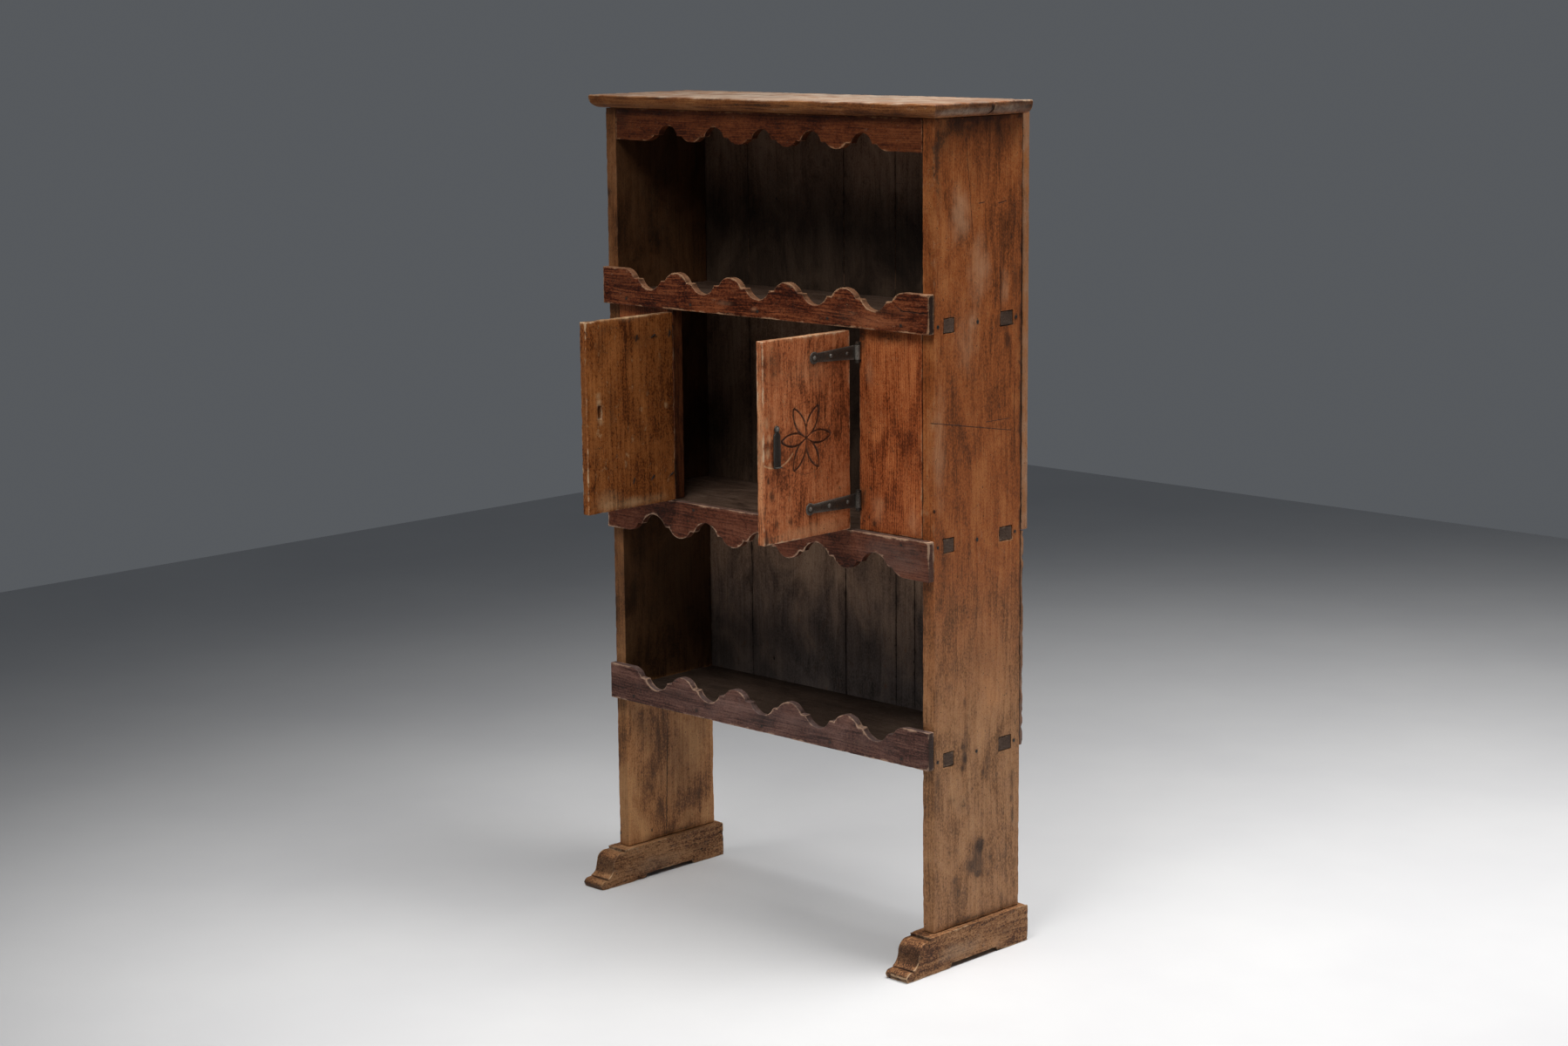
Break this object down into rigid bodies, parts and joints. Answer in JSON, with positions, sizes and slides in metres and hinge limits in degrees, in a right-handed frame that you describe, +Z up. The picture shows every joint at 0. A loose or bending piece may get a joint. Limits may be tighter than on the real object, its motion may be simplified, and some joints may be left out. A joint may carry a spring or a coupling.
{
  "type": "open dresser with a cupboard",
  "caption": "Tall rustic plank dresser on trestle feet: open shelves with scalloped gallery rails, and a double-door cupboard with iron strap hinges, a swinging latch and a carved rosette.",
  "frame": {"origin": "on the floor, midway between the sides, in the plane of the side boards' front edges, which is within a few millimetres of the middle of the whole depth with the doors standing open", "axes": "+X to the right seen from the front, +Y to the back, +Z up"},
  "size_m": [0.95, 0.5414, 1.675],
  "materials": {
    "aged_pine": "old waxed softwood, worn and stained",
    "dark_pine": "dark red-brown waxed softwood with pale worn edges",
    "door_pine": "warm red-brown waxed softwood",
    "foot_pine": "weathered grey-brown softwood",
    "forged_iron": "hand-forged, dark with bare worn edges"
  },
  "bodies": {
    "case": {"side_left": "aged_pine", "side_right": "aged_pine", "foot_left": "foot_pine", "foot_right": "foot_pine", "top_front_plank": "aged_pine", "top_rear_plank": "aged_pine", "shelf_upper": "aged_pine", "shelf_middle": "aged_pine", "shelf_lower": "aged_pine", "top_apron": "dark_pine", "upper_gallery_rail": "dark_pine", "middle_apron": "dark_pine", "lower_gallery_rail": "dark_pine", "panel_left": "door_pine", "panel_right": "door_pine", "back_plank_left": "aged_pine", "back_plank_wide": "aged_pine", "back_plank_centre": "aged_pine", "back_plank_right": "aged_pine", "back_plank_infill": "aged_pine", "back_plank_patch": "aged_pine", "jamb_eyes_left": "forged_iron", "jamb_eyes_right": "forged_iron", "hinge_pins": "forged_iron", "rail_nails": "forged_iron", "side_nails": "forged_iron"},
    "right_door": {"door_right": "door_pine", "strap_right_upper": "forged_iron", "strap_right_lower": "forged_iron", "strap_nails_right": "forged_iron", "latch_nail": "forged_iron"},
    "left_door": {"door_left": "door_pine", "strap_left_upper": "forged_iron", "strap_left_lower": "forged_iron", "strap_nails_left": "forged_iron"},
    "latch": {"latch_bar": "forged_iron"}
  },
  "joints": [
    {"name": "right_door_hinge", "type": "hinge", "parent": "case", "child": "right_door", "pos_m": [0.26, -0.006, 1.054], "axis": [0, 0, 1], "range_deg": [-91, 79]},
    {"name": "left_door_hinge", "type": "hinge", "parent": "case", "child": "left_door", "pos_m": [-0.26, -0.006, 1.054], "axis": [0, 0, -1], "range_deg": [-89, 81]},
    {"name": "latch_swing", "type": "hinge", "parent": "right_door", "child": "latch", "pos_m": [0.25979, -0.22904, 1.0745], "axis": [0.9998, 0.0175, 0], "range_deg": [-95, 95]}
  ]
}
